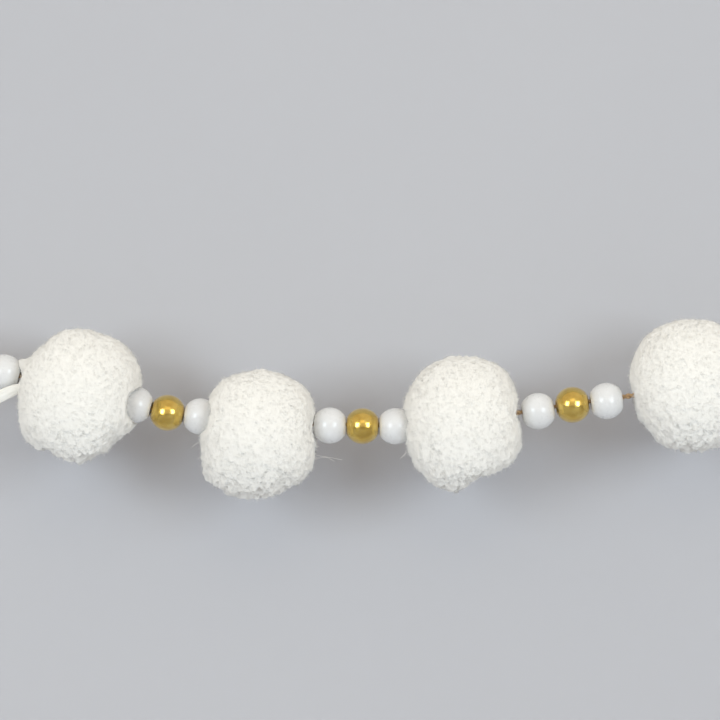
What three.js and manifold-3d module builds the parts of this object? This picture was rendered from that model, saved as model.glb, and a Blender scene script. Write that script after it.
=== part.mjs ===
// A pom-pom garland: yarn pompoms and wooden beads threaded on one twine, which hangs in a shallow
// swag between the two loops that are knotted into its ends. Millimetres. X runs along the garland,
// Y points into the wall behind it and Z is up. The origin is the middle of the garland's box.

import * as THREE from "three";
import { mergeVertices } from "three/addons/utils/BufferGeometryUtils.js";
import Module from "manifold-3d";

const wasm = await Module();
wasm.setup();

// Beads: balls with a flat at each end of the bore
const BEAD_DIAMETER = 16.1;
const BEAD_LENGTH = 14.0;
const BEAD_BORE = 4.8;
const BEAD_SIDES = 14;
const BEAD_ARC_STEPS = 5;

// Twine
const TWINE_DIAMETER = 2.4;
const TWINE_SIDES = 8;
const TWINE_STEPS = 58;

// Room that a pompom leaves round a bead that is pressed into it, and round the twine
const BEAD_CLEARANCE = 0.4;
const TWINE_CLEARANCE = 0.45;

// Pompoms: rings of four-sided locks round the twine. The clefts between the locks end at the
// packed yarn inside, which is this share of the ball
const RINGS = 6;
const LOCKS_ROUND = 12;
const CLEFT_SHARE = 0.78;
const CLEFT_WIDTH = 1.6;
const CLEFT_COLUMNS = [0, 0.2, 0.8];
const POLE_ANGLE = 4;
const RING_WAVE = 3;
const THINNEST_RING = 0.25;
const LOCK_STAGGER = 0.3;
const LOCK_CROWN = 0.5;
const LOCK_UNEVENNESS = 1.2;
const LOCK_LEAN = 0.8;
const LOCK_DROOP = 0.8;
const SQUARENESS = 2.3;

// Hanging loops and their knots
const LOOP_LENGTH = 20;
const LOOP_HALF_WIDTH = 3.9;
const LOOP_STEPS = 18;
const KNOT_LENGTH = 6.4;
const KNOT_RADIUS = 3.0;
const KNOT_TURNS = 2;
const KNOT_RIDGE = 0.45;
const KNOT_NECK_SHARE = 0.7;
const KNOT_SIDES = 12;
const KNOT_ROWS = 8;
const TAIL_LENGTH = 9;
const TAIL_SPREAD = 2;
const TAIL_STEPS = 4;

// Where each pompom hangs, half its sizes along the twine, front to back and upright, and the slope
// of the twine through it in degrees
const POMPOMS = [
  { name: "pompom_1", x: -136.0, y: 0.0, z: 1.9, along: 27.6, deep: 27.6, upright: 29.9, slope: -13 },
  { name: "pompom_2", x: -57.0, y: 1.2, z: -14.2, along: 26.2, deep: 26.4, upright: 27.9, slope: -4 },
  { name: "pompom_3", x: 33.3, y: 1.0, z: -10.0, along: 26.4, deep: 26.8, upright: 29.7, slope: 6 },
  { name: "pompom_4", x: 134.8, y: -0.2, z: 6.8, along: 27.7, deep: 27.6, upright: 29.4, slope: 13 },
];

// Lumps and hollows of the cut yarn: the way out from the pompom's centre, in degrees round it seen
// from the front and in degrees back from that view, how far the yarn stands out and how wide it is
const LUMPS = [
  { on: "pompom_1", at: 30, back: 0, reach: 1.4, width: 24 },
  { on: "pompom_1", at: 150, back: 0, reach: 3.0, width: 7 },
  { on: "pompom_1", at: 219, back: 0, reach: 2.6, width: 15 },
  { on: "pompom_1", at: 309, back: 0, reach: -2.3, width: 16 },
  { on: "pompom_1", at: 340, back: 0, reach: -1.4, width: 12 },
  { on: "pompom_1", at: 60, back: 55, reach: 1.3, width: 22 },
  { on: "pompom_1", at: 200, back: 60, reach: -1.2, width: 20 },
  { on: "pompom_2", at: 37, back: 0, reach: 1.3, width: 15 },
  { on: "pompom_2", at: 136, back: 0, reach: 1.0, width: 10 },
  { on: "pompom_2", at: 220, back: 0, reach: 3.0, width: 18 },
  { on: "pompom_2", at: 318, back: 0, reach: 1.7, width: 18 },
  { on: "pompom_2", at: 120, back: 50, reach: 1.4, width: 20 },
  { on: "pompom_2", at: 300, back: 60, reach: -1.2, width: 18 },
  { on: "pompom_3", at: 5, back: 0, reach: -1.6, width: 14 },
  { on: "pompom_3", at: 52, back: 0, reach: 1.4, width: 16 },
  { on: "pompom_3", at: 139, back: 0, reach: 1.2, width: 14 },
  { on: "pompom_3", at: 182, back: 0, reach: -1.4, width: 8 },
  { on: "pompom_3", at: 240, back: 0, reach: 1.4, width: 20 },
  { on: "pompom_3", at: 287, back: 0, reach: -4.2, width: 11 },
  { on: "pompom_3", at: 336, back: 0, reach: 1.3, width: 12 },
  { on: "pompom_3", at: 80, back: 65, reach: 1.2, width: 20 },
  { on: "pompom_4", at: 40, back: 0, reach: 1.1, width: 18 },
  { on: "pompom_4", at: 138, back: 0, reach: 1.1, width: 15 },
  { on: "pompom_4", at: 190, back: 0, reach: -1.0, width: 11 },
  { on: "pompom_4", at: 325, back: 0, reach: 1.0, width: 18 },
  { on: "pompom_4", at: 230, back: 55, reach: 1.4, width: 20 },
];

// One long lock is tucked into the first pompom. It trails past the front and underside of the bead
// beside it and spreads towards its tip
const STRAY_ROUTE = [
  [-148.0, -5.0, 4.6],
  [-158.0, -6.4, 5.2],
  [-164.2, -7.2, 4.9],
  [-171.0, -8.0, 2.9],
  [-179.0, -7.6, -0.2],
];
const STRAY_WIDTH = 7.4;
const STRAY_THICKNESS = 2.4;
const STRAY_ROOT_SHARE = 0.4;
const STRAY_STEPS = 5;
const STRAY_CLEARANCE = 0.4;

// Where each bead hangs, and the slope and turn of its bore in degrees
const BEADS = [
  { name: "bead_white_1", colour: "white", x: -197.1, y: 0.4, z: 20.6, slope: -18, turn: 0 },
  { name: "bead_gold_1", colour: "gold", x: -183.3, y: 0.2, z: 16.1, slope: -17, turn: 1 },
  { name: "bead_white_2", colour: "white", x: -169.4, y: 0.0, z: 12.2, slope: -15, turn: 0 },
  { name: "bead_white_3", colour: "white", x: -111.4, y: 0.2, z: -2.0, slope: -14, turn: -2 },
  { name: "bead_gold_2", colour: "gold", x: -97.3, y: 0.5, z: -5.6, slope: -12, turn: -1 },
  { name: "bead_white_4", colour: "white", x: -82.8, y: 0.9, z: -7.3, slope: -8, turn: -3 },
  { name: "bead_white_5", colour: "white", x: -25.6, y: 1.1, z: -11.3, slope: -1, turn: 0 },
  { name: "bead_gold_3", colour: "gold", x: -11.1, y: 1.0, z: -11.5, slope: -1, turn: 0 },
  { name: "bead_white_6", colour: "white", x: 3.4, y: 1.0, z: -11.6, slope: 1, turn: 1 },
  { name: "bead_white_7", colour: "white", x: 66.5, y: 0.6, z: -4.9, slope: 8, turn: 1 },
  { name: "bead_gold_4", colour: "gold", x: 81.7, y: 0.3, z: -2.1, slope: 9, turn: 1 },
  { name: "bead_white_8", colour: "white", x: 96.7, y: 0.1, z: -0.4, slope: 7, turn: 0 },
  { name: "bead_white_9", colour: "white", x: 169.1, y: 0.0, z: 17.3, slope: 17, turn: 0 },
  { name: "bead_gold_5", colour: "gold", x: 182.9, y: 0.2, z: 21.8, slope: 18, turn: -1 },
  { name: "bead_white_10", colour: "white", x: 196.6, y: 0.4, z: 26.6, slope: 20, turn: -1 },
];

// The twine from knot to knot. The beads hang on it, so it runs along the top of their bores
const TWINE_ROUTE = [
  [-209.0, 0.5, 25.0],
  [-197.1, 0.4, 21.2],
  [-183.3, 0.2, 16.7],
  [-169.4, 0.0, 12.8],
  [-158.0, 0.0, 9.3],
  [-136.0, 0.0, 4.0],
  [-120.0, 0.1, 0.8],
  [-111.3, 0.2, -1.4],
  [-97.3, 0.5, -5.5],
  [-83.0, 0.9, -6.8],
  [-70.0, 1.1, -8.6],
  [-57.0, 1.2, -10.2],
  [-40.0, 1.2, -10.7],
  [-25.6, 1.1, -10.7],
  [-11.1, 1.0, -10.9],
  [3.3, 1.0, -11.0],
  [16.0, 1.0, -10.6],
  [33.3, 1.0, -9.0],
  [52.0, 0.8, -6.4],
  [66.5, 0.6, -4.3],
  [81.7, 0.3, -1.6],
  [96.7, 0.1, 0.3],
  [108.5, 0.0, 2.1],
  [134.8, -0.2, 7.6],
  [156.0, -0.1, 13.7],
  [169.1, 0.0, 17.9],
  [182.9, 0.2, 22.4],
  [196.5, 0.4, 27.2],
  [207.8, 0.5, 31.4],
];

// The two ends of the twine, and how steeply each loop rises outwards in degrees
const ENDS = [
  { sign: -1, knot: TWINE_ROUTE[0], rise: 24 },
  { sign: 1, knot: TWINE_ROUTE[TWINE_ROUTE.length - 1], rise: 24 },
];

// A loop's outline from the knot round and back, as shares of its length and half its width
const LOOP_OUTLINE = [
  { along: 0.03, aside: 0.36 },
  { along: 0.2, aside: 0.42 },
  { along: 0.5, aside: 0.82 },
  { along: 0.75, aside: 1.0 },
  { along: 0.93, aside: 0.72 },
  { along: 1.0, aside: 0.0 },
  { along: 0.93, aside: -0.72 },
  { along: 0.75, aside: -1.0 },
  { along: 0.5, aside: -0.82 },
  { along: 0.2, aside: -0.42 },
  { along: 0.03, aside: -0.36 },
];

const YARN = new THREE.MeshStandardMaterial({ color: 0xf3f2ec, roughness: 1.0, metalness: 0 });
const JUTE = new THREE.MeshStandardMaterial({ color: 0xae8458, roughness: 0.9, metalness: 0 });
const PAINTS = {
  white: new THREE.MeshStandardMaterial({ color: 0xeef0ee, roughness: 0.25, metalness: 0 }),
  gold: new THREE.MeshStandardMaterial({ color: 0xc79f45, roughness: 0.3, metalness: 0.8 }),
};

const rad = THREE.MathUtils.degToRad;

// Numbers from 0 to 1 that come out the same each time
function uneven(seed) {
  let state = seed * 7919 + 17;
  return () => {
    state = (state * 1664525 + 1013904223) % 4294967296;
    return state / 4294967296;
  };
}

function solidOf(geometry) {
  const bare = geometry.clone();
  bare.deleteAttribute("normal");
  bare.deleteAttribute("uv");
  const merged = mergeVertices(bare, 1e-4);
  const vertProperties = merged.attributes.position.array;
  const triVerts = new Uint32Array(merged.index.array);
  return new wasm.Manifold(new wasm.Mesh({ numProp: 3, vertProperties, triVerts }));
}

function geometryOf(solid) {
  const made = solid.getMesh();
  const geometry = new THREE.BufferGeometry();
  geometry.setAttribute("position", new THREE.BufferAttribute(made.vertProperties, 3));
  geometry.setIndex(new THREE.BufferAttribute(made.triVerts, 1));
  const faceted = geometry.toNonIndexed();
  faceted.computeVertexNormals();
  return faceted;
}

function curveThrough(points) {
  const curve = new THREE.CatmullRomCurve3(points.map((p) => new THREE.Vector3(...p)));
  curve.arcLengthDivisions = 1000;
  return curve;
}

function tube(points, diameter, steps) {
  const section = new THREE.Shape();
  for (let i = 0; i < TWINE_SIDES; i++) {
    const angle = (i / TWINE_SIDES) * 2 * Math.PI;
    const corner = [(diameter / 2) * Math.cos(angle), (diameter / 2) * Math.sin(angle)];
    if (i === 0) section.moveTo(...corner);
    else section.lineTo(...corner);
  }
  const settings = { steps, extrudePath: curveThrough(points), bevelEnabled: false };
  return new THREE.ExtrudeGeometry(section, settings);
}

// A bead along X. Its bore is cut when bored is true, and all its outside is clearance larger
function beadGeometry(clearance, bored) {
  const radius = BEAD_DIAMETER / 2 + clearance;
  const half = BEAD_LENGTH / 2 + clearance;
  const slant = Math.asin(half / radius);
  const profile = [];
  for (let i = 0; i <= BEAD_ARC_STEPS; i++) {
    const angle = -slant + (2 * slant * i) / BEAD_ARC_STEPS;
    profile.push(new THREE.Vector2(radius * Math.cos(angle), radius * Math.sin(angle)));
  }
  if (bored) {
    const bore = BEAD_BORE / 2;
    profile.push(new THREE.Vector2(bore, half));
    profile.push(new THREE.Vector2(bore, -half));
    profile.push(profile[0].clone());
  } else {
    profile.push(new THREE.Vector2(0, half));
    profile.unshift(new THREE.Vector2(0, -half));
  }
  return new THREE.LatheGeometry(profile, BEAD_SIDES).rotateZ(-Math.PI / 2);
}

// Turns a bead that lies along X to its slope and turn, at its place
function placed(geometry, bead) {
  return geometry.rotateZ(rad(bead.turn)).rotateY(-rad(bead.slope)).translate(bead.x, bead.y, bead.z);
}

// How far the yarn reaches from the pompom's centre in a direction
function reach(ball, direction) {
  const sum =
    Math.abs(direction.x / ball.along) ** SQUARENESS +
    Math.abs(direction.y / ball.deep) ** SQUARENESS +
    Math.abs(direction.z / ball.upright) ** SQUARENESS;
  let radius = sum ** (-1 / SQUARENESS);
  for (const lump of LUMPS) {
    if (lump.on !== ball.name) continue;
    const way = new THREE.Vector3(
      Math.cos(rad(lump.at)) * Math.cos(rad(lump.back)),
      Math.sin(rad(lump.back)),
      Math.sin(rad(lump.at)) * Math.cos(rad(lump.back)),
    );
    const off = way.angleTo(direction) / rad(lump.width);
    radius += lump.reach * Math.exp(-off * off);
  }
  return radius;
}

// The direction at an angle off the twine and an angle round it
function outward(ball, off, round) {
  const direction = new THREE.Vector3(
    Math.cos(off),
    Math.sin(off) * Math.cos(round),
    Math.sin(off) * Math.sin(round),
  );
  return direction.applyAxisAngle(new THREE.Vector3(0, 1, 0), -rad(ball.slope));
}

// The angle off the twine of the cleft before a ring, which wanders as it goes round
function cleftAngle(ball, ring, round) {
  const even = POLE_ANGLE + ((180 - 2 * POLE_ANGLE) * ring) / RINGS;
  const wave = ring === 0 || ring === RINGS ? 0 : RING_WAVE * Math.sin(3 * round + 2 * ring + ball.x);
  return rad(even + wave);
}

// The angle round the twine that lies a number of locks on. Each ring is turned half a lock more
function angleRound(ring, locks) {
  return ((locks + ring / 2) / LOCKS_ROUND) * 2 * Math.PI;
}

// The section through the rings from one end of the twine to the other
function lockRows() {
  const rows = [{ level: "pole", ring: RINGS, share: 0, crown: 0 }];
  for (let ring = RINGS - 1; ring >= 0; ring--) {
    rows.push({ level: "top", ring, share: 1, crown: 0 });
    rows.push({ level: "top", ring, share: 0.5, crown: LOCK_CROWN });
    rows.push({ level: "top", ring, share: 0, crown: 0 });
    rows.push({ level: ring === 0 ? "pole" : "cleft", ring, share: 0, crown: 0 });
  }
  return rows;
}

// All the locks as one lathe turned round the twine. Each lock has three columns of points, and the
// first of them lies in the cleft between two locks
function locks(ball, random) {
  const rings = [];
  for (let ring = 0; ring < RINGS; ring++) {
    const made = [];
    for (let i = 0; i < LOCKS_ROUND; i++) {
      const lean = new THREE.Vector3(random() - 0.5, random() - 0.5, random() - 0.5);
      made.push({
        start: i + LOCK_STAGGER * (random() - 0.5),
        length: LOCK_UNEVENNESS * (random() - 0.5),
        lean: lean.multiplyScalar(LOCK_LEAN),
      });
    }
    made.push({ ...made[0], start: made[0].start + LOCKS_ROUND });
    rings.push(made);
  }
  const rows = lockRows();
  const columns = CLEFT_COLUMNS.length * LOCKS_ROUND;
  const geometry = new THREE.LatheGeometry(rows.map(() => new THREE.Vector2(1, 0)), columns);
  const points = geometry.attributes.position;
  for (let i = 0; i < points.count; i++) {
    const column = Math.floor(i / rows.length) % columns;
    const point = lockPoint(ball, rings, rows[i % rows.length], column);
    points.setXYZ(i, point.x, point.y, point.z);
  }
  return geometry;
}

function lockPoint(ball, rings, row, column) {
  const number = Math.floor(column / CLEFT_COLUMNS.length);
  const part = column % CLEFT_COLUMNS.length;
  if (row.level !== "top") {
    const round = angleRound(row.ring - 0.5, number + CLEFT_COLUMNS[part]);
    const off = row.level === "pole" ? (row.ring / RINGS) * Math.PI : cleftAngle(ball, row.ring, round);
    const direction = outward(ball, off, round);
    return direction.multiplyScalar(CLEFT_SHARE * reach(ball, direction));
  }
  const lock = rings[row.ring][number];
  const start = angleRound(row.ring, lock.start);
  const end = angleRound(row.ring, rings[row.ring][number + 1].start);
  const side = CLEFT_WIDTH / 2 / ball.along;
  const thickness = Math.sin(cleftAngle(ball, row.ring + row.share, start));
  const inset = side / Math.max(thickness, THINNEST_RING);
  const round = [start, start + inset, end - inset][part];
  const low = cleftAngle(ball, row.ring, round);
  const high = cleftAngle(ball, row.ring + 1, round);
  const direction = outward(ball, low + side + (high - low - 2 * side) * row.share, round);
  const full = reach(ball, direction);
  if (part === 0) return direction.multiplyScalar(CLEFT_SHARE * full);
  const hang = new THREE.Vector3(0, 0, -1).addScaledVector(direction, direction.z);
  return direction
    .multiplyScalar(full + lock.length + row.crown)
    .add(lock.lean)
    .addScaledVector(hang, LOCK_DROOP);
}

// The lock that trails from the first pompom, a flat strip. All its outside is clearance larger
function strayLock(clearance) {
  const route = curveThrough(STRAY_ROUTE);
  const geometry = new THREE.CylinderGeometry(1, 1, 1, 4, STRAY_STEPS).rotateY(Math.PI / 4);
  const points = geometry.attributes.position;
  for (let i = 0; i < points.count; i++) {
    const share = 0.5 - points.getY(i);
    const way = route.getTangentAt(share);
    const across = new THREE.Vector3(way.z, 0, -way.x).normalize();
    const spread = STRAY_ROOT_SHARE + (1 - STRAY_ROOT_SHARE) * share;
    const wide = (STRAY_WIDTH / 2) * spread + clearance;
    const thick = STRAY_THICKNESS / 2 + clearance;
    const aside = wide * Math.sign(Math.round(points.getX(i) * 1000));
    const back = thick * Math.sign(Math.round(points.getZ(i) * 1000));
    const point = route.getPointAt(share).addScaledVector(across, aside);
    point.addScaledVector(way, share === 0 ? -clearance : 0);
    points.setXYZ(i, point.x, point.y + back, point.z);
  }
  return geometry;
}

function pompom(ball, index) {
  const lump = locks(ball, uneven(index + 1)).translate(ball.x, ball.y, ball.z);
  let yarn = solidOf(lump);
  if (index === 0) yarn = yarn.subtract(solidOf(strayLock(STRAY_CLEARANCE)));
  for (const bead of BEADS) {
    if (Math.abs(bead.x - ball.x) > ball.along + BEAD_DIAMETER) continue;
    yarn = yarn.subtract(solidOf(placed(beadGeometry(BEAD_CLEARANCE, false), bead)));
  }
  const tunnel = tube(TWINE_ROUTE, TWINE_DIAMETER + 2 * TWINE_CLEARANCE, TWINE_STEPS);
  return geometryOf(yarn.subtract(solidOf(tunnel)));
}

// A knot along X, whose wraps stand out as a ridge that winds round it
function knotGeometry() {
  const profile = [new THREE.Vector2(0, -KNOT_LENGTH / 2)];
  for (let i = 0; i <= KNOT_ROWS; i++) {
    const neck = i === 0 || i === KNOT_ROWS ? KNOT_NECK_SHARE : 1;
    profile.push(new THREE.Vector2(KNOT_RADIUS * neck, (i / KNOT_ROWS - 0.5) * KNOT_LENGTH));
  }
  profile.push(new THREE.Vector2(0, KNOT_LENGTH / 2));
  const geometry = new THREE.LatheGeometry(profile, KNOT_SIDES);
  const points = geometry.attributes.position;
  for (let i = 0; i < points.count; i++) {
    const point = new THREE.Vector3().fromBufferAttribute(points, i);
    const angle = Math.atan2(point.z, point.x);
    const wound = (2 * Math.PI * KNOT_TURNS * point.y) / KNOT_LENGTH - angle;
    const radius = Math.hypot(point.x, point.z);
    const swell = radius > 0 ? 1 + (KNOT_RIDGE * Math.cos(wound)) / KNOT_RADIUS : 0;
    points.setXYZ(i, point.x * swell, point.y, point.z * swell);
  }
  return geometry.rotateZ(-Math.PI / 2);
}

// A knot, the loop that it closes and the tail that hangs from it
function endOfTwine(end) {
  const out = new THREE.Vector3(end.sign * Math.cos(rad(end.rise)), 0, Math.sin(rad(end.rise)));
  const aside = new THREE.Vector3(-out.z, 0, out.x);
  const knot = new THREE.Vector3(...end.knot);
  const loop = LOOP_OUTLINE.map((corner) => {
    const point = knot.clone().addScaledVector(out, corner.along * LOOP_LENGTH);
    return point.addScaledVector(aside, corner.aside * LOOP_HALF_WIDTH).toArray();
  });
  const tail = [0, 0.3, 1].map((share) => {
    const point = knot.clone().addScaledVector(out, TAIL_SPREAD * share);
    return [point.x, point.y - TAIL_SPREAD * share, point.z - TAIL_LENGTH * share];
  });
  return [
    knotGeometry().rotateY(-end.sign * rad(end.rise)).translate(...end.knot),
    tube(loop, TWINE_DIAMETER, LOOP_STEPS),
    tube(tail, TWINE_DIAMETER, TAIL_STEPS),
  ];
}

function twine() {
  let strand = solidOf(tube(TWINE_ROUTE, TWINE_DIAMETER, TWINE_STEPS));
  for (const end of ENDS) {
    for (const piece of endOfTwine(end)) strand = strand.add(solidOf(piece));
  }
  return geometryOf(strand);
}

function part(name, geometry, material) {
  const mesh = new THREE.Mesh(geometry, material.clone());
  mesh.name = name;
  return mesh;
}

const garland = new THREE.Group();
garland.name = "pompom_garland";
garland.add(part("twine", twine(), JUTE));
for (const bead of BEADS) {
  garland.add(part(bead.name, placed(beadGeometry(0, true), bead), PAINTS[bead.colour]));
}
POMPOMS.forEach((ball, index) => garland.add(part(ball.name, pompom(ball, index), YARN)));
garland.add(part("stray_lock", strayLock(0), YARN));

export default garland;
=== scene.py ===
"""Looks of a pom-pom garland: cut-yarn pompoms and painted wooden beads on two-ply twine."""
import math

import bpy
import numpy as np
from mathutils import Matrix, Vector


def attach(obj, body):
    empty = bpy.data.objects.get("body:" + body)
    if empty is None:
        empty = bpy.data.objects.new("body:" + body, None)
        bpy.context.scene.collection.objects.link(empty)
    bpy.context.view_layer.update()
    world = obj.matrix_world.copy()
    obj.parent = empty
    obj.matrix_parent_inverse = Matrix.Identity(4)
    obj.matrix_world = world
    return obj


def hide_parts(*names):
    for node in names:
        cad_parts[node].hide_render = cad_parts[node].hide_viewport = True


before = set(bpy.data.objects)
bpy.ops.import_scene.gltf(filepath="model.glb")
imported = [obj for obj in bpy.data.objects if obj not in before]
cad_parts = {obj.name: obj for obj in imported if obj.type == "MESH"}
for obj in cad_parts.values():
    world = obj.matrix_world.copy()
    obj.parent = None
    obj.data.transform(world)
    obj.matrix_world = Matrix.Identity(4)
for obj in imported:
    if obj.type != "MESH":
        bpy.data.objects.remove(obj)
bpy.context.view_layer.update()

MM = 0.001

# All sizes are in millimetres and degrees. Places, beads' slopes and the twine's route are the
# part's own; the pompoms' section and lumps are finer than the part's.
SQUARENESS = 2.15
POMPOMS = [
    dict(name="pompom_1", at=(-136.0, 0.0, 1.9), half=(27.6, 27.6, 29.9)),
    dict(name="pompom_2", at=(-57.0, 1.2, -14.2), half=(26.2, 26.4, 27.9)),
    dict(name="pompom_3", at=(33.3, 1.0, -10.0), half=(26.4, 26.8, 29.7)),
    dict(name="pompom_4", at=(134.8, -0.2, 6.8), half=(27.7, 27.6, 29.4)),
]
# on, degrees round as seen from the front, degrees back, how far it stands out, how wide
LUMPS = [
    ("pompom_1", 30, 0, 1.2, 22), ("pompom_1", 68, 0, -0.8, 14), ("pompom_1", 124, 0, -1.7, 12),
    ("pompom_1", 139, 0, -1.2, 8), ("pompom_1", 151, 0, 3.4, 6), ("pompom_1", 160, 0, -1.6, 6),
    ("pompom_1", 212, 0, 1.6, 14), ("pompom_1", 246, 0, -3.4, 12), ("pompom_1", 266, 0, -0.6, 9),
    ("pompom_1", 286, 0, -2.8, 12), ("pompom_1", 312, 0, -4.4, 15), ("pompom_1", 340, 0, 0.3, 12),
    ("pompom_1", 60, 55, 1.3, 22), ("pompom_1", 200, 60, -1.2, 20),
    ("pompom_2", 3, 0, -2.0, 12), ("pompom_2", 37, 0, 1.0, 15), ("pompom_2", 105, 0, -0.6, 12),
    ("pompom_2", 152, 0, -1.2, 8), ("pompom_2", 222, 0, 3.1, 17), ("pompom_2", 247, 0, 1.2, 10),
    ("pompom_2", 258, 0, 1.4, 14), ("pompom_2", 303, 0, -0.8, 10), ("pompom_2", 322, 0, 1.3, 16),
    ("pompom_2", 120, 50, 1.4, 20), ("pompom_2", 300, 60, -1.2, 18),
    ("pompom_3", 9, 0, -2.6, 12), ("pompom_3", 52, 0, 1.0, 14), ("pompom_3", 132, 0, 0.4, 14),
    ("pompom_3", 160, 0, 0.9, 12), ("pompom_3", 178, 0, -1.2, 7), ("pompom_3", 228, 0, -0.2, 20),
    ("pompom_3", 256, 0, 0.8, 15), ("pompom_3", 287, 0, -6.6, 12), ("pompom_3", 306, 0, -2.6, 12),
    ("pompom_3", 338, 0, 0.8, 16), ("pompom_3", 80, 65, 1.2, 20),
    ("pompom_4", 40, 0, 1.1, 18), ("pompom_4", 138, 0, 0.8, 17), ("pompom_4", 165, 0, 0.6, 14),
    ("pompom_4", 192, 0, -1.0, 9), ("pompom_4", 222, 0, -1.4, 18), ("pompom_4", 275, 0, -0.4, 14),
    ("pompom_4", 325, 0, 0.4, 18), ("pompom_4", 230, 55, 1.4, 20),
]
# Each reaches this much further from front to back than along the front
LUMP_DEPTH = 2.5
# Half a bead's length along its bore, white and gold, and the bore's radius
BEAD_RADIUS, BEAD_HALF, GOLD_HALF, BEAD_BORE = 8.05, 7.03, 7.12, 2.4
BEAD_SIDES, BEAD_ARC, BEAD_EDGE = 44, 22, 0.7
# node, place, slope and turn of the bore
BEADS = [
    ("bead_white_1", (-197.1, 0.4, 20.6), -18, 0), ("bead_gold_1", (-183.3, 0.2, 16.1), -17, 1),
    ("bead_white_2", (-169.4, 0.0, 12.2), -15, 0), ("bead_white_3", (-111.4, 0.2, -2.0), -14, -2),
    ("bead_gold_2", (-97.3, 0.5, -5.6), -12, -1), ("bead_white_4", (-82.8, 0.9, -7.3), -8, -3),
    ("bead_white_5", (-25.6, 1.1, -11.3), -1, 0), ("bead_gold_3", (-11.1, 1.0, -11.5), -1, 0),
    ("bead_white_6", (3.4, 1.0, -11.6), 1, 1), ("bead_white_7", (66.5, 0.6, -4.9), 8, 1),
    ("bead_gold_4", (81.7, 0.3, -2.1), 9, 1), ("bead_white_8", (96.7, 0.1, -0.4), 7, 0),
    ("bead_white_9", (169.1, 0.0, 17.3), 17, 0), ("bead_gold_5", (182.9, 0.2, 21.8), 18, -1),
    ("bead_white_10", (196.6, 0.4, 26.6), 20, -1),
]
TWINE_DIAMETER, PLY_TURN, HAIR_RADIUS = 2.4, 6.2, 0.05
TWINE_ROUTE = [
    (-209.0, 0.5, 25.0), (-197.1, 0.4, 21.2), (-183.3, 0.2, 16.7), (-169.4, 0.0, 12.8),
    (-158.0, 0.0, 9.3), (-136.0, 0.0, 4.0), (-120.0, 0.1, 0.8), (-111.3, 0.2, -1.4),
    (-97.3, 0.5, -5.5), (-83.0, 0.9, -6.8), (-70.0, 1.1, -8.6), (-57.0, 1.2, -10.2),
    (-40.0, 1.2, -10.7), (-25.6, 1.1, -10.7), (-11.1, 1.0, -10.9), (3.3, 1.0, -11.0),
    (16.0, 1.0, -10.6), (33.3, 1.0, -9.0), (52.0, 0.8, -6.4), (66.5, 0.6, -4.3),
    (81.7, 0.3, -1.6), (96.7, 0.1, 0.3), (108.5, 0.0, 2.1), (134.8, -0.2, 7.6),
    (156.0, -0.1, 13.7), (169.1, 0.0, 17.9), (182.9, 0.2, 22.4), (196.5, 0.4, 27.2),
    (207.8, 0.5, 31.4),
]
LOOP_LENGTH, LOOP_HALF_WIDTH, LOOP_RISE = 20.0, 3.9, 24
LOOP_OUTLINE = [
    (0.03, 0.36), (0.2, 0.42), (0.5, 0.82), (0.75, 1.0), (0.93, 0.72), (1.0, 0.0),
    (0.93, -0.72), (0.75, -1.0), (0.5, -0.82), (0.2, -0.42), (0.03, -0.36),
]
KNOT_LENGTH, KNOT_RADIUS, KNOT_TURNS = 6.4, 2.2, 2
TAIL_SPREAD, TAIL_LENGTH = 2.0, 9.0
STRAY_ROUTE = [
    (-148.0, -5.0, 5.0), (-157.0, -6.4, 5.9), (-163.0, -7.2, 5.5), (-171.0, -8.0, 2.0),
    (-179.0, -7.6, -1.4),
]
STRAY_WIDTH, STRAY_THICKNESS, STRAY_ROOT_SHARE = 6.0, 2.4, 0.2
STRAY_FIBRES, STRAY_FIBRE_RADIUS, STRAY_SOFTNESS = 150, 0.42, 0.6

# Yarn: every cut end is a tuft that splits into its plies, each with a rounded end
TUFTS, PLIES, PLY_APART = 2300, 3, 0.62
# How far a ply's end falls off a millimetre from its middle, and this much more underneath
PLY_FALL, PLY_FALL_UNDER = 0.5, 0.5
# How unevenly the tufts and their plies stand out, and this much more underneath
TUFT_UNEVEN, TUFT_UNEVEN_UNDER, PLY_UNEVEN = 0.22, 0.44, 0.08
# The cut ends lie this far below the outline on average
TIPS_BELOW = 0.6
# How far the normals lean from the yarn's own surface to the whole bundle's
SOFTNESS = 0.96
CLUMPS, CLUMP_WAVES = 7, (14, 34)
# size in mm all over, and what is added underneath
CLUMP_SIZES = ((0.14, 0.6), (0.08, 0.35))
UNDER_REACH = 0.8
LIGHT_WRAP = np.array([0.0, -0.42, 0.2])
ROWS, COLUMNS = 124, 260
SKIN_TO_BEAD, SKIN_TUCK = 0.1, 0.15
BEADS_WITHIN = 40
# Single strands that stand out of the cut ends, and finer loose fibres
STRANDS, STRAND_RADIUS = 7600, 0.16
FIBRES, FIBRE_RADIUS = 6600, 0.075
WISP_RADIUS = 0.07
# No strand or fibre begins or ends nearer than this to a bead
FIBRE_TO_BEAD = 0.25
# Yarn in front of a bead stops this far from the pompom's centre, or this far before the bead's
# own centre where the bead hangs further out, and reaches further above and below the bead
HOLLOW_STOP, HOLLOW_BEFORE, HOLLOW_HEIGHT, HOLLOW_RISE = 21.8, 4.4, 8.0, 4.0
# Long loose fibres: pompom, then the points each follows
WISPS = [
    ("pompom_2", [(-36, -6, -22), (-31, -7, -24.2), (-25, -7.5, -25.2), (-20.1, -7, -26.2)]),
    ("pompom_2", [(-38, -2, -24), (-31.5, -3, -25.6), (-27, -3.4, -25.2), (-23.5, -3, -27)]),
    ("pompom_2", [(-78, -8, -17), (-83, -9, -18.4), (-86, -9, -20.6)]),
    ("pompom_3", [(11, -9, -21), (7.4, -10, -23.6), (5.6, -10, -25.4)]),
    ("pompom_3", [(12, -2, -20), (8.0, -2, -22.4), (7.6, -2, -25.0)]),
]


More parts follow.
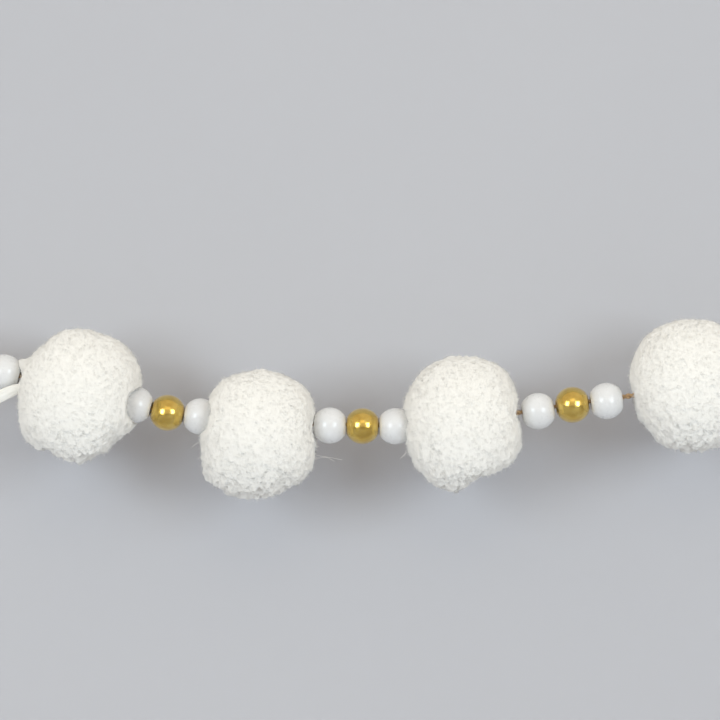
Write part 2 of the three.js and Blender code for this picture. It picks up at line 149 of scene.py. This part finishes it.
def unit(v):
    return v / np.maximum(np.linalg.norm(v, axis=-1, keepdims=True), 1e-9)


def curve_through(points, spacing):
    """A centripetal Catmull-Rom curve through the points, sampled about every spacing mm."""
    p = np.array(points, float)
    p = np.vstack([2 * p[0] - p[1], p, 2 * p[-1] - p[-2]])
    made = []
    for i in range(1, len(p) - 2):
        gap = np.sqrt(np.linalg.norm(p[i : i + 3] - p[i - 1 : i + 2], axis=1))
        a = (p[i] - p[i - 1]) / gap[0] - (p[i + 1] - p[i - 1]) / (gap[0] + gap[1])
        a = (a + (p[i + 1] - p[i]) / gap[1]) * gap[1]
        b = (p[i + 1] - p[i]) / gap[1] - (p[i + 2] - p[i]) / (gap[1] + gap[2])
        b = (b + (p[i + 2] - p[i + 1]) / gap[2]) * gap[1]
        t = np.linspace(0, 1, 24, endpoint=False)[:, None]
        h = 2 * t**3 - 3 * t**2
        made.append(p[i] * (h + 1) + a * (t**3 - 2 * t**2 + t) - p[i + 1] * h + b * (t**3 - t**2))
    line = np.vstack(made + [p[-2][None]])
    run = np.concatenate([[0], np.cumsum(np.linalg.norm(np.diff(line, axis=0), axis=1))])
    at = np.linspace(0, run[-1], max(int(run[-1] / spacing), 4) + 1)
    return np.stack([np.interp(at, run, line[:, k]) for k in range(3)], axis=1)


def frames(lines):
    """Unit vectors along, across and round each line of points (n, rings, 3)."""
    along = unit(np.gradient(lines, axis=1))
    mean = unit(along.mean(axis=1))
    helper = np.where(np.abs(mean[:, 2:3]) < 0.8, [[0.0, 0.0, 1.0]], [[1.0, 0.0, 0.0]])
    across = unit(np.cross(along, helper[:, None, :]))
    return along, across, np.cross(along, across)


class Parts:
    """Points, faces and the faces' UVs of one mesh, gathered group by group."""

    def __init__(self):
        self.points, self.faces, self.uvs, self.count = [], [], [], 0

    def add(self, points, faces, uvs):
        self.points.append(np.asarray(points).reshape(-1, 3))
        self.faces += [tuple(f) for f in (np.asarray(faces) + self.count).tolist()]
        self.uvs.append(np.asarray(uvs).reshape(-1, 2))
        self.count += len(self.points[-1])

    def tubes(self, lines, radii, sides, area, turn=None):
        """Round tubes along lines (n, rings, 3) with a pointed cap at each far end."""
        n, rings, _ = lines.shape
        along, across, round_ = frames(lines)
        angle = np.arange(sides) / sides * 2 * math.pi
        angle = angle[None] + (np.zeros((n, 1)) if turn is None else turn[:, None])
        c, s = np.cos(angle)[:, None, :, None], np.sin(angle)[:, None, :, None]
        ring = c * across[:, :, None] + s * round_[:, :, None]
        skin = lines[:, :, None] + radii[:, :, None, None] * ring
        tip = lines[:, -1] + along[:, -1] * radii[:, -1:] * 0.7
        points = np.concatenate([skin.reshape(n, -1, 3), tip[:, None]], axis=1)
        r, k = np.meshgrid(np.arange(rings - 1), np.arange(sides), indexing="ij")
        r, k = r.ravel(), k.ravel()
        nxt = (k + 1) % sides
        near, far = r * sides, (r + 1) * sides
        quads = np.stack([near + k, near + nxt, far + nxt, far + k], 1)
        q_uv = np.stack([np.stack([k, r], 1), np.stack([k + 1, r], 1),
                         np.stack([k + 1, r + 1], 1), np.stack([k, r + 1], 1)], 1) / [sides, rings]
        k = np.arange(sides)
        last = (rings - 1) * sides
        tris = np.stack([last + k, last + (k + 1) % sides, np.full(sides, rings * sides)], 1)
        end = k * 0 + rings
        t_uv = np.stack([np.stack([k, end - 1], 1), np.stack([k + 1, end - 1], 1),
                         np.stack([k + 0.5, end], 1)], 1) / [sides, rings]
        grid = math.ceil(math.sqrt(n))
        cell = np.stack([np.arange(n) % grid, np.arange(n) // grid], 1) / grid
        lo, hi = np.array(area[:2]), np.array(area[2:])
        per = points.shape[1]
        step = (np.arange(n) * per)[:, None, None]

        def place(uv):
            return lo + (cell[:, None, None] + (0.04 + 0.92 * uv[None]) / grid) * (hi - lo)

        first = self.count
        self.add(points, (quads[None] + step).reshape(-1, 4), place(q_uv))
        caps = (tris[None] + step).reshape(-1, 3) + first
        self.faces += [tuple(f) for f in caps.tolist()]
        self.uvs.append(place(t_uv).reshape(-1, 2))

    def mesh(self, name, material):
        data = bpy.data.meshes.new(name)
        data.from_pydata((np.vstack(self.points) * MM).tolist(), [], self.faces)
        layer = data.uv_layers.new(name="OFBake")
        layer.data.foreach_set("uv", np.vstack(self.uvs).astype(np.float32).ravel())
        data.polygons.foreach_set("use_smooth", [True] * len(data.polygons))
        data.materials.append(material)
        data.update()
        made = bpy.data.objects.new(name, data)
        bpy.context.scene.collection.objects.link(made)
        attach(made, "root")
        return made


# Materials
class Nodes:
    """A short hand for one Principled material with procedural inputs."""

    def __init__(self, name, **values):
        self.material = bpy.data.materials.new(name)
        self.material.use_nodes = True
        self.tree = self.material.node_tree
        self.shader = self.tree.nodes["Principled BSDF"]
        self.output = self.tree.nodes["Material Output"]
        for key, value in values.items():
            self.shader.inputs[key.replace("_", " ")].default_value = value
        self.where = self.tree.nodes.new("ShaderNodeTexCoord").outputs["Object"]

    def node(self, kind, inputs=(), **settings):
        made = self.tree.nodes.new(kind)
        for key, value in settings.items():
            setattr(made, key, value)
        for key, value in dict(inputs).items():
            if isinstance(value, bpy.types.NodeSocket):
                self.tree.links.new(value, made.inputs[key])
            else:
                made.inputs[key].default_value = value
        return made

    def noise(self, scale, detail, roughness=0.5):
        return self.node("ShaderNodeTexNoise", {
            "Vector": self.where, "Scale": scale, "Detail": detail, "Roughness": roughness,
        }).outputs["Fac"]

    def ramp(self, fac, *stops):
        made = self.node("ShaderNodeValToRGB", {"Fac": fac})
        while len(made.color_ramp.elements) < len(stops):
            made.color_ramp.elements.new(0.5)
        for element, (at, colour) in zip(made.color_ramp.elements, stops):
            element.position = at
            element.color = (*colour, 1)
        return made.outputs["Color"]

    def span(self, fac, low, high):
        made = self.node("ShaderNodeMapRange", {"Value": fac, "To Min": low, "To Max": high})
        return made.outputs["Result"]

    def bump(self, height, distance, strength, under=None):
        inputs = {"Height": height, "Distance": distance, "Strength": strength}
        if under:
            inputs["Normal"] = under
        return self.node("ShaderNodeBump", inputs).outputs["Normal"]

    def put(self, **sockets):
        for key, value in sockets.items():
            self.tree.links.new(value, self.shader.inputs[key.replace("_", " ")])
        return self.material


def yarn_material():
    m = Nodes("wool_yarn", Roughness=0.95, Sheen_Weight=0.6, Sheen_Roughness=0.6,
              Specular_IOR_Level=0.1)
    tint = m.ramp(m.noise(420, 2.0), (0.25, (0.915, 0.896, 0.838)), (0.7, (0.948, 0.93, 0.876)))
    fibre = m.bump(m.noise(2600, 3.0, 0.65), 0.00015, 0.4)
    return m.put(Base_Color=tint, Normal=fibre)


def white_paint():
    m = Nodes("white_gloss_paint", Coat_Weight=0.35, Coat_Roughness=0.12, Specular_IOR_Level=0.5)
    tint = m.ramp(m.noise(160, 4.0), (0.3, (0.76, 0.762, 0.756)), (0.75, (0.826, 0.828, 0.822)))
    rough = m.span(m.noise(500, 2.0), 0.22, 0.36)
    peel = m.bump(m.noise(900, 2.0), 0.00006, 0.5)
    return m.put(Base_Color=tint, Roughness=rough, Normal=peel)


def gold_paint():
    m = Nodes("metallic_gold_paint", Metallic=1.0, Coat_Weight=1.0, Coat_Roughness=0.06)
    flakes = m.noise(2400, 2.0, 0.7)
    cloud = m.noise(260, 4.0)
    tint = m.ramp(cloud, (0.3, (0.60, 0.39, 0.06)), (0.5, (0.70, 0.48, 0.09)),
                  (0.72, (0.78, 0.57, 0.14)))
    rough = m.span(flakes, 0.14, 0.26)
    peel = m.bump(flakes, 0.00004, 0.4, m.bump(m.noise(500, 2.0), 0.00012, 0.5))
    return m.put(Base_Color=tint, Roughness=rough, Normal=peel)


def jute():
    m = Nodes("jute_twine", Roughness=0.85, Sheen_Weight=0.2)
    tint = m.ramp(m.noise(900, 4.0, 0.65), (0.3, (0.3, 0.16, 0.07)), (0.5, (0.56, 0.36, 0.18)),
                  (0.75, (0.76, 0.56, 0.35)))
    return m.put(Base_Color=tint, Normal=m.bump(m.noise(4000, 3.0), 0.00012, 0.7))


YARN, WHITE, GOLD, JUTE = yarn_material(), white_paint(), gold_paint(), jute()


# Beads
def bead_mesh(name, at, slope, turn, material):
    sides, arc, edge = BEAD_SIDES, BEAD_ARC, BEAD_EDGE
    half = GOLD_HALF if material is GOLD else BEAD_HALF
    limit = math.asin(half / BEAD_RADIUS)
    profile = [(BEAD_BORE, -half * 0.5), (BEAD_BORE, -half + 0.9), (BEAD_BORE + 0.12, -half + 0.45)]
    profile += [(BEAD_BORE + 0.5, -half + 0.08), (BEAD_BORE + 0.9, -half)]
    rim = BEAD_RADIUS * math.cos(limit)
    profile += [(rim - edge, -half), (rim - 0.25 * edge, -half + 0.1 * edge)]
    for i in range(1, arc):
        angle = -limit + 0.05 + (2 * limit - 0.1) * i / arc
        profile.append((BEAD_RADIUS * math.cos(angle), BEAD_RADIUS * math.sin(angle)))
    profile += [(r, -x) for r, x in profile[6::-1]]
    profile = np.array(profile)
    rings = len(profile)
    angle = np.arange(sides) / sides * 2 * math.pi
    points = np.stack([
        np.repeat(profile[:, 1], sides),
        np.outer(profile[:, 0], np.cos(angle)).ravel(),
        np.outer(profile[:, 0], np.sin(angle)).ravel(),
    ], 1)
    slant, swing = math.radians(slope), math.radians(turn)
    x, y, z = points.T
    x, y = x * math.cos(swing) - y * math.sin(swing), x * math.sin(swing) + y * math.cos(swing)
    x, z = x * math.cos(slant) - z * math.sin(slant), x * math.sin(slant) + z * math.cos(slant)
    points = np.stack([x, y, z], 1) + np.array(at)
    r, k = (a.ravel() for a in np.meshgrid(np.arange(rings), np.arange(sides), indexing="ij"))
    up, nxt = (r + 1) % rings, (k + 1) % sides
    faces = np.stack([r * sides + k, up * sides + k, up * sides + nxt, r * sides + nxt], 1)
    uvs = np.stack([np.stack([k, r], 1), np.stack([k, r + 1], 1),
                    np.stack([k + 1, r + 1], 1), np.stack([k + 1, r], 1)], 1) / [sides, rings]
    parts = Parts()
    parts.add(points, faces, 0.01 + 0.98 * uvs)
    made = parts.mesh(name + "_painted", material)
    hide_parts(name)


for bead_name, bead_at, bead_slope, bead_turn in BEADS:
    bead_mesh(bead_name, bead_at, bead_slope, bead_turn, GOLD if "gold" in bead_name else WHITE)


# Pompoms
def reach(ball, way):
    """How far the yarn reaches from the pompom's centre in each direction, in mm."""
    radius = (np.abs(way / np.array(ball["half"])) ** SQUARENESS).sum(-1) ** (-1 / SQUARENESS)
    flat = np.array([1, 1 / LUMP_DEPTH, 1])
    seen = unit(way * flat)
    for on, at, back, out, width in LUMPS:
        if on == ball["name"]:
            a, b = math.radians(at), math.radians(back)
            lump = np.array([math.cos(a) * math.cos(b), math.sin(b), math.sin(a) * math.cos(b)])
            off = np.arccos(np.clip(seen @ unit(lump * flat), -1, 1)) / math.radians(width)
            radius = radius + out * np.exp(-off * off)
    return radius


def free_run(ball, way, run, margin):
    """Shortens straight strands from the pompom's centre where they meet a bead or its hollow."""
    for _, at, _, _ in BEADS:
        off = np.array(at) - np.array(ball["at"])
        if off @ off > BEADS_WITHIN**2:
            continue
        b, c = way @ off, off @ off - (BEAD_RADIUS + margin) ** 2
        inside = b * b - c
        meets = (inside > 0) & (b > 0)
        run = np.where(meets, np.minimum(run, b - np.sqrt(np.abs(inside))), run)
        axis = off / np.linalg.norm(off)
        end = way * run[:, None]
        along = end @ axis
        above = end @ np.array([-axis[2], 0, axis[0]])
        stop = max(HOLLOW_STOP, np.linalg.norm(off) - HOLLOW_BEFORE)
        stop = stop + (above / HOLLOW_HEIGHT) ** 4 * HOLLOW_RISE
        front = (end[:, 1] < off[1] + 1) & (along > stop)
        run = np.where(front, run * stop / np.maximum(along, 1), run)
    return run


def clumps(rng):
    """Where the cut ends stand in clumps: wave directions and phases, coarse ones and fine ones."""
    return [(unit(rng.normal(size=(CLUMPS, 3))) * wave * rng.uniform(0.7, 1.3, (CLUMPS, 1)),
             rng.uniform(0, 6.3, CLUMPS)) for wave in CLUMP_WAVES]


def underneath(way):
    """How far each direction points down, none for all that point less than a little."""
    return np.clip(-way[:, 2] - 0.25, 0, 1)


def swell(way, waves):
    """How far the clumps stand out in each direction, in mm, more so underneath."""
    low = underneath(way)
    total = np.zeros(len(way))
    for (pull, phase), (size, under) in zip(waves, CLUMP_SIZES):
        total += np.sin(way @ pull.T + phase).sum(1) / math.sqrt(len(phase)) * (size + under * low)
    return total + UNDER_REACH * low


def spread(rng, count):
    """Directions spread evenly over a ball, a little out of line."""
    i = np.arange(count) + 0.5
    z = 1 - 2 * i / count
    turn = i * math.pi * (3 - math.sqrt(5))
    way = np.stack([np.sqrt(1 - z * z) * np.cos(turn), np.sqrt(1 - z * z) * np.sin(turn), z], 1)
    spin, _ = np.linalg.qr(rng.normal(size=(3, 3)))
    return unit(way @ spin + rng.normal(size=way.shape) * 0.014)


def cut_ends(ball, way, rng):
    """How far the rounded ends of the plies stand out in each direction, in mm."""
    size = float(np.mean(ball["half"]))
    tuft = spread(rng, TUFTS)
    tuft_rise = rng.normal(size=TUFTS) * (TUFT_UNEVEN + TUFT_UNEVEN_UNDER * underneath(tuft))
    aside = unit(np.cross(tuft, rng.normal(size=(TUFTS, 3))))
    other = np.cross(tuft, aside)
    steep, level = [], []
    for k in range(PLIES):
        angle = 2 * math.pi * k / PLIES + rng.normal(size=(TUFTS, 1)) * 0.25
        apart = PLY_APART / size * rng.uniform(0.8, 1.25, (TUFTS, 1))
        end = unit(tuft + (np.cos(angle) * aside + np.sin(angle) * other) * apart)
        rise = tuft_rise + rng.normal(size=TUFTS) * PLY_UNEVEN - TIPS_BELOW
        steepness = PLY_FALL + PLY_FALL_UNDER * underneath(end)
        fall = 2 * size**2 * steepness * rng.uniform(0.8, 1.3, TUFTS)
        steep.append(end * fall[:, None])
        level.append(rise - fall)
    steep = np.concatenate(steep).T
    level = np.concatenate(level)
    return np.concatenate([(part @ steep + level).max(1) for part in np.array_split(way, 60)])


def ball_mesh(ball, waves, rng):
    """The pompom's skin, a closed surface over all the cut ends."""
    v = np.linspace(0, math.pi, ROWS + 1)[:, None]
    u = np.linspace(0, 2 * math.pi, COLUMNS, endpoint=False)[None]
    way = np.stack([np.sin(v) * np.cos(u), np.sin(v) * np.sin(u), np.cos(v) + 0 * u], -1)
    way = way.reshape(-1, 3)
    full = reach(ball, way) + swell(way, waves) + cut_ends(ball, way, rng)
    free = free_run(ball, way, full, SKIN_TO_BEAD)
    radius = np.where(free < full, free - SKIN_TUCK, full)
    points = way * radius[:, None] + np.array(ball["at"])
    r, k = (a.ravel() for a in np.meshgrid(np.arange(ROWS), np.arange(COLUMNS), indexing="ij"))
    nxt = (k + 1) % COLUMNS
    near, far = r * COLUMNS, (r + 1) * COLUMNS
    faces = np.stack([near + k, far + k, far + nxt, near + nxt], 1)
    uvs = np.stack([np.stack([k, r], 1), np.stack([k, r + 1], 1),
                    np.stack([k + 1, r + 1], 1), np.stack([k + 1, r], 1)], 1) / [COLUMNS, ROWS]
    return points, faces, uvs, way


def clear_of_beads(lines):
    """Tells which short fibres have both ends outside every bead."""
    places = np.array([at for _, at, _, _ in BEADS])
    away = np.linalg.norm(lines[:, :, None] - places, axis=-1)
    return (away > BEAD_RADIUS + FIBRE_TO_BEAD).all(axis=(1, 2))


def soften(data, centres, share):
    """Turns the normals towards the bundle's own and the light, as scattering through wool does."""
    count = len(data.vertices)
    points, normals = np.empty(count * 3), np.empty(count * 3)
    data.vertices.foreach_get("co", points)
    data.vertex_normals.foreach_get("vector", normals)
    points = points.reshape(-1, 3) / MM
    nearest = ((points[:, None] - centres[None]) ** 2).sum(2).argmin(1)
    out = unit(points - centres[nearest])
    lit = out + LIGHT_WRAP * np.clip(1 - 1.4 * out[:, 1:2], 0, 1)
    mixed = unit(unit(lit) * share + normals.reshape(-1, 3) * (1 - share))
    data.normals_split_custom_set_from_vertices(mixed.tolist())


def pompom(ball, seed):
    rng = np.random.default_rng(seed)
    centre = np.array(ball["at"])
    parts = Parts()
    points, faces, uvs, way = ball_mesh(ball, clumps(rng), rng)
    parts.add(points, faces, [0.0, 0.3] + uvs * [1.0, 0.7])

    even = np.flatnonzero(np.abs(way[:, 2]) < np.sqrt(1 - rng.uniform(0, 1, len(way)) ** 2))
    for count, size, deep, reach_out, stray, strip in (
        (STRANDS, STRAND_RADIUS, 0.5, (0.4, 0.85), 0.4, (0.08, 0.2)),
        (FIBRES, FIBRE_RADIUS, 0.2, (0.6, 1.6), 0.6, (0.06, 0.1)),
    ):
        pick = rng.choice(even, count)
        begin = points[pick] - way[pick] * deep + rng.normal(size=(count, 3)) * 0.2
        out = unit(way[pick] + rng.normal(size=(count, 3)) * stray)
        run = rng.uniform(*reach_out, count)[:, None]
        thick = size * rng.uniform(0.75, 1.25, count)[:, None] * np.array([1.0, 0.75])[None]
        turn = rng.uniform(0, 6.3, count)
        lines = np.stack([begin, begin + out * run], 1)
        keep = clear_of_beads(lines)
        parts.tubes(lines[keep], thick[keep], 3, (0.0, strip[0], 1.0, strip[1]), turn[keep])
    for on, points in WISPS:
        if on == ball["name"]:
            wisp = curve_through(points, 1.2)[None]
            parts.tubes(wisp, np.full(wisp.shape[:2], WISP_RADIUS), 3, (0.0, 0.05, 1.0, 0.06))

    made = parts.mesh(ball["name"] + "_yarn", YARN)
    soften(made.data, centre[None], SOFTNESS)
    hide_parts(ball["name"])


for number, each in enumerate(POMPOMS):
    pompom(each, 11 + number)


# The stray lock: a flat bundle of long fibres that spreads towards its tip
def stray_lock():
    rng = np.random.default_rng(5)
    count = STRAY_FIBRES
    route = curve_through(STRAY_ROUTE, 4.0)
    share = np.linspace(0, 1, len(route))
    way = unit(np.gradient(route, axis=0))
    across = unit(np.stack([way[:, 2], 0 * way[:, 0], -way[:, 0]], 1))
    fan = STRAY_ROOT_SHARE + (1 - STRAY_ROOT_SHARE) * share
    side = rng.uniform(-1, 1, count)[:, None] * (STRAY_WIDTH / 2 - 0.3) * fan[None]
    deep = rng.uniform(-1, 1, count)[:, None] * (STRAY_THICKNESS / 2 - 0.3)
    deep = deep * np.ones((1, len(route)))
    side += rng.normal(size=side.shape) * 0.12
    line = route[None] + side[:, :, None] * across[None] + deep[:, :, None] * np.array([0, 1.0, 0])
    stop = rng.uniform(0.86, 1.0, count)[:, None, None]
    line = line[:, :1] + (line - line[:, :1]) * stop
    radii = STRAY_FIBRE_RADIUS * rng.uniform(0.7, 1.2, count)[:, None] * (1 - 0.55 * share**4)[None]
    parts = Parts()
    parts.tubes(line, radii, 5, (0, 0, 1, 1), rng.uniform(0, 6.3, count))
    made = parts.mesh("stray_lock_yarn", YARN)
    soften(made.data, curve_through(STRAY_ROUTE, 0.5), STRAY_SOFTNESS)
    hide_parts("stray_lock")


stray_lock()


# Twine: two plies wound round each other, with short loose fibres
def plies(parts, line, area, rng, hairs, scale=1.0):
    run = np.concatenate([[0], np.cumsum(np.linalg.norm(np.diff(line, axis=0), axis=1))])
    _, across, round_ = (a[0] for a in frames(line[None]))
    ply = TWINE_DIAMETER * scale / 4
    for k in range(2):
        angle = run / PLY_TURN * 2 * math.pi + k * math.pi
        ring = np.cos(angle)[:, None] * across + np.sin(angle)[:, None] * round_
        path = line + ring * ply * 0.95
        thick = ply * (1.04 + 0.06 * np.sin(run * 1.7 + 3 * k) + 0.04 * np.sin(run * 4.1))
        low = area[1] + (area[3] - area[1]) * k / 3
        high = area[1] + (area[3] - area[1]) * (k + 1) / 3
        parts.tubes(path[None], thick[None], 8, (area[0], low, area[2], high))
    at = rng.integers(1, len(line) - 1, hairs)
    out = unit(rng.normal(size=(hairs, 3)))
    along = unit(line[at + 1] - line[at - 1]) * rng.choice([-1, 1], (hairs, 1))
    start = line[at] + out * ply * 1.2
    end = start + out * rng.uniform(0.3, 1.1, (hairs, 1))
    end = end + along * rng.uniform(0.5, 2.2, (hairs, 1))
    hair = np.stack([start, (start + end) / 2 + out * 0.25, end], 1)
    low = area[3] - (area[3] - area[1]) / 3
    parts.tubes(hair, np.full((hairs, 3), HAIR_RADIUS), 3, (area[0], low, area[2], area[3]))


def twine():
    rng = np.random.default_rng(3)
    line = curve_through(TWINE_ROUTE, 0.6)
    strand = Parts()
    plies(strand, line, (0, 0, 1, 1), rng, 900)
    strand = strand.mesh("twine_strand", JUTE)
    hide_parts("twine")
    ends = Parts()
    for number, (sign, knot) in enumerate([(-1, TWINE_ROUTE[0]), (1, TWINE_ROUTE[-1])]):
        knot = np.array(knot)
        rise = math.radians(LOOP_RISE)
        out = np.array([sign * math.cos(rise), 0, math.sin(rise)])
        aside = np.array([-out[2], 0, out[0]])
        back = np.array([0, 1.0, 0])
        low = number / 2
        loop = [knot + out * LOOP_LENGTH * a + aside * LOOP_HALF_WIDTH * b for a, b in LOOP_OUTLINE]
        plies(ends, curve_through(loop, 0.5), (0, low, 1, low + 0.2), rng, 90)
        turn = np.linspace(0, 1, 15)
        wraps = []
        for t in turn:
            wound = 2 * math.pi * KNOT_TURNS * t
            round_ = aside * math.cos(wound) + back * math.sin(wound)
            wraps.append(knot + out * (t - 0.5) * (KNOT_LENGTH - 2.2) + round_ * KNOT_RADIUS)
        plies(ends, curve_through(wraps, 0.5), (0, low + 0.2, 1, low + 0.38), rng, 60, 0.95)
        tail = [knot + out * TAIL_SPREAD * t + [0, -TAIL_SPREAD * t, -TAIL_LENGTH * t]
                for t in (0, 0.3, 1)]
        plies(ends, curve_through(tail, 0.5), (0, low + 0.38, 1, low + 0.5), rng, 60)
    ends = ends.mesh("twine_ends", JUTE)


twine()


# Camera: straight on, 318 mm wide at the garland
VIEW_WIDTH, VIEW_CENTRE, VIEW_DISTANCE = 0.3182, (-0.0122, 0.0, 0.0177), 1.3
camera_data = bpy.data.cameras.new("camera")
camera_data.sensor_width = 36
camera_data.lens = 36 * VIEW_DISTANCE / VIEW_WIDTH
camera = bpy.data.objects.new("camera", camera_data)
camera.location = (VIEW_CENTRE[0], -VIEW_DISTANCE, VIEW_CENTRE[2])
camera.rotation_euler = (math.pi / 2, 0, 0)
bpy.context.scene.collection.objects.link(camera)
bpy.context.scene.camera = camera


# Stage: a pale wall that sweeps into a pale floor, seen only from its front
def backdrop():
    wall, floor, bend = 0.048, -0.42, 0.18
    profile = [(wall, 4.0), (wall, 0.4), (wall, 0.0)]
    for i in range(13):
        a = i / 12 * math.pi / 2
        profile.append((wall - bend + bend * math.cos(a), floor + bend - bend * math.sin(a)))
    profile += [(-0.8, floor), (-9.0, floor)]
    points = [(x, y, z) for y, z in profile for x in (-9.0, 9.0)]
    faces = [(2 * i, 2 * i + 2, 2 * i + 3, 2 * i + 1) for i in range(len(profile) - 1)]
    data = bpy.data.meshes.new("backdrop")
    data.from_pydata(points, [], faces)
    data.polygons.foreach_set("use_smooth", [True] * len(faces))
    made = bpy.data.objects.new("backdrop", data)
    bpy.context.scene.collection.objects.link(made)
    m = Nodes("pale_wall", Roughness=0.9, Specular_IOR_Level=0.1)
    tint = m.ramp(m.noise(3.0, 2.0), (0.3, (0.519, 0.523, 0.549)), (0.7, (0.539, 0.543, 0.569)))
    m.put(Base_Color=tint)
    clear = m.node("ShaderNodeBsdfTransparent").outputs[0]
    behind = m.node("ShaderNodeNewGeometry").outputs["Backfacing"]
    mixed = m.node("ShaderNodeMixShader", {0: behind, 1: m.shader.outputs[0], 2: clear})
    m.tree.links.new(mixed.outputs[0], m.output.inputs["Surface"])
    data.materials.append(m.material)


backdrop()


# Light: two softboxes in front, a weaker one above and one behind, in a soft pale room
def softbox(name, azimuth, elevation, distance, size, power, colour=(1, 1, 1)):
    data = bpy.data.lights.new(name, "AREA")
    data.shape = "RECTANGLE"
    data.size, data.size_y = size
    data.energy = power
    data.color = colour
    made = bpy.data.objects.new(name, data)
    a, e = math.radians(azimuth), math.radians(elevation)
    way = Vector((math.sin(a) * math.cos(e), -math.cos(a) * math.cos(e), math.sin(e)))
    made.location = way * distance
    made.rotation_euler = way.to_track_quat("Z", "Y").to_euler()
    bpy.context.scene.collection.objects.link(made)


softbox("light_left", -34, 7, 1.35, (0.5, 0.6), 5.8, (0.8, 0.91, 1.0))
softbox("light_right", 34, 7, 1.35, (0.5, 0.6), 5.7, (0.8, 0.91, 1.0))
softbox("light_above", 0, 30, 1.35, (0.7, 0.45), 0.7, (1.0, 0.85, 0.55))
softbox("light_behind", 160, 35, 1.5, (0.9, 0.9), 5.0)

world = bpy.data.worlds.new("room")
bpy.context.scene.world = world
world.use_nodes = True
world_tree = world.node_tree
sky = world_tree.nodes["Background"]
coord = world_tree.nodes.new("ShaderNodeTexCoord")
height = world_tree.nodes.new("ShaderNodeSeparateXYZ")
grade = world_tree.nodes.new("ShaderNodeValToRGB")
scale = world_tree.nodes.new("ShaderNodeMapRange")
scale.inputs["From Min"].default_value = -1
world_tree.links.new(coord.outputs["Generated"], height.inputs[0])
world_tree.links.new(height.outputs["Z"], scale.inputs["Value"])
world_tree.links.new(scale.outputs["Result"], grade.inputs["Fac"])
world_tree.links.new(grade.outputs["Color"], sky.inputs["Color"])
for stop, value in zip(
    [grade.color_ramp.elements[0], grade.color_ramp.elements[1]],
    [(0.0, (1.0, 0.91, 0.785)), (1.0, (1.03, 0.94, 0.835))],
):
    stop.position, stop.color = value[0], (*value[1], 1)
sky.inputs["Strength"].default_value = 0.74

bpy.context.scene.view_settings.view_transform = "Standard"
